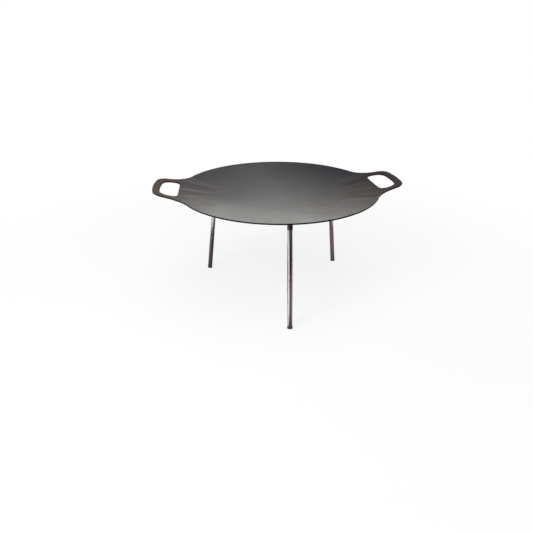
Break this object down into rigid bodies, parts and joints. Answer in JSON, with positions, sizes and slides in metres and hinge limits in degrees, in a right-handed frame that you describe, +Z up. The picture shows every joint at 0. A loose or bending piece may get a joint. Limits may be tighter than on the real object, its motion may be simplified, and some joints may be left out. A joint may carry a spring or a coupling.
{
  "type": "camp griddle plate",
  "caption": "Dished steel griddle for cooking over a camp fire, with a looped handle on each side, standing on splayed legs that unscrew from sockets under the pan.",
  "frame": {"origin": "on the ground under the middle of the pan, the bottom centre of the bounding box", "axes": "+X through the right handle, -Y towards the front leg, +Z up"},
  "size_m": [0.5938, 0.48, 0.2834],
  "materials": {
    "pan_steel": "pressed carbon steel sheet, oiled, satin dark grey",
    "socket_steel": "turned carbon steel, dull dark grey",
    "weld_steel": "weld metal with a rippled surface and heat colours",
    "leg_steel": "drawn steel tube, bright with brown-grey scale",
    "stud_steel": "rolled thread on bright steel",
    "foot_steel": "turned carbon steel, dark brown-grey"
  },
  "bodies": {
    "pan": {"griddle_pan": "pan_steel", "front_socket": "socket_steel", "rear_right_socket": "socket_steel", "rear_left_socket": "socket_steel", "front_socket_weld": "weld_steel", "rear_right_socket_weld": "weld_steel", "rear_left_socket_weld": "weld_steel"},
    "front_stud": {"front_leg_stud": "stud_steel"},
    "front_leg": {"front_leg_tube": "leg_steel", "front_foot_plug": "foot_steel"},
    "rear_right_stud": {"rear_right_leg_stud": "stud_steel"},
    "rear_right_leg": {"rear_right_leg_tube": "leg_steel", "rear_right_foot_plug": "foot_steel"},
    "rear_left_stud": {"rear_left_leg_stud": "stud_steel"},
    "rear_left_leg": {"rear_left_leg_tube": "leg_steel", "rear_left_foot_plug": "foot_steel"}
  },
  "joints": [
    {"name": "front_leg_travel", "type": "slide", "parent": "pan", "child": "front_stud", "axis": [0, -0.144, -0.9896], "range_m": [0, 0.02]},
    {"name": "front_leg_turn", "type": "hinge", "parent": "front_stud", "child": "front_leg", "pos_m": [0, -0.1786, 0.23135], "axis": [0, -0.144, -0.9896], "range_deg": [0, 5760]},
    {"name": "rear_right_leg_travel", "type": "slide", "parent": "pan", "child": "rear_right_stud", "axis": [0.1247, 0.072, -0.9896], "range_m": [0, 0.02]},
    {"name": "rear_right_leg_turn", "type": "hinge", "parent": "rear_right_stud", "child": "rear_right_leg", "pos_m": [0.15467, 0.0893, 0.23135], "axis": [0.1247, 0.072, -0.9896], "range_deg": [0, 5760]},
    {"name": "rear_left_leg_travel", "type": "slide", "parent": "pan", "child": "rear_left_stud", "axis": [-0.1247, 0.072, -0.9896], "range_m": [0, 0.02]},
    {"name": "rear_left_leg_turn", "type": "hinge", "parent": "rear_left_stud", "child": "rear_left_leg", "pos_m": [-0.15467, 0.0893, 0.23135], "axis": [-0.1247, 0.072, -0.9896], "range_deg": [0, 5760]}
  ],
  "couplings": [
    {"joint": "front_leg_turn", "follows": "front_leg_travel", "rad_per_m": 5026.5},
    {"joint": "rear_right_leg_turn", "follows": "rear_right_leg_travel", "rad_per_m": 5026.5},
    {"joint": "rear_left_leg_turn", "follows": "rear_left_leg_travel", "rad_per_m": 5026.5}
  ]
}
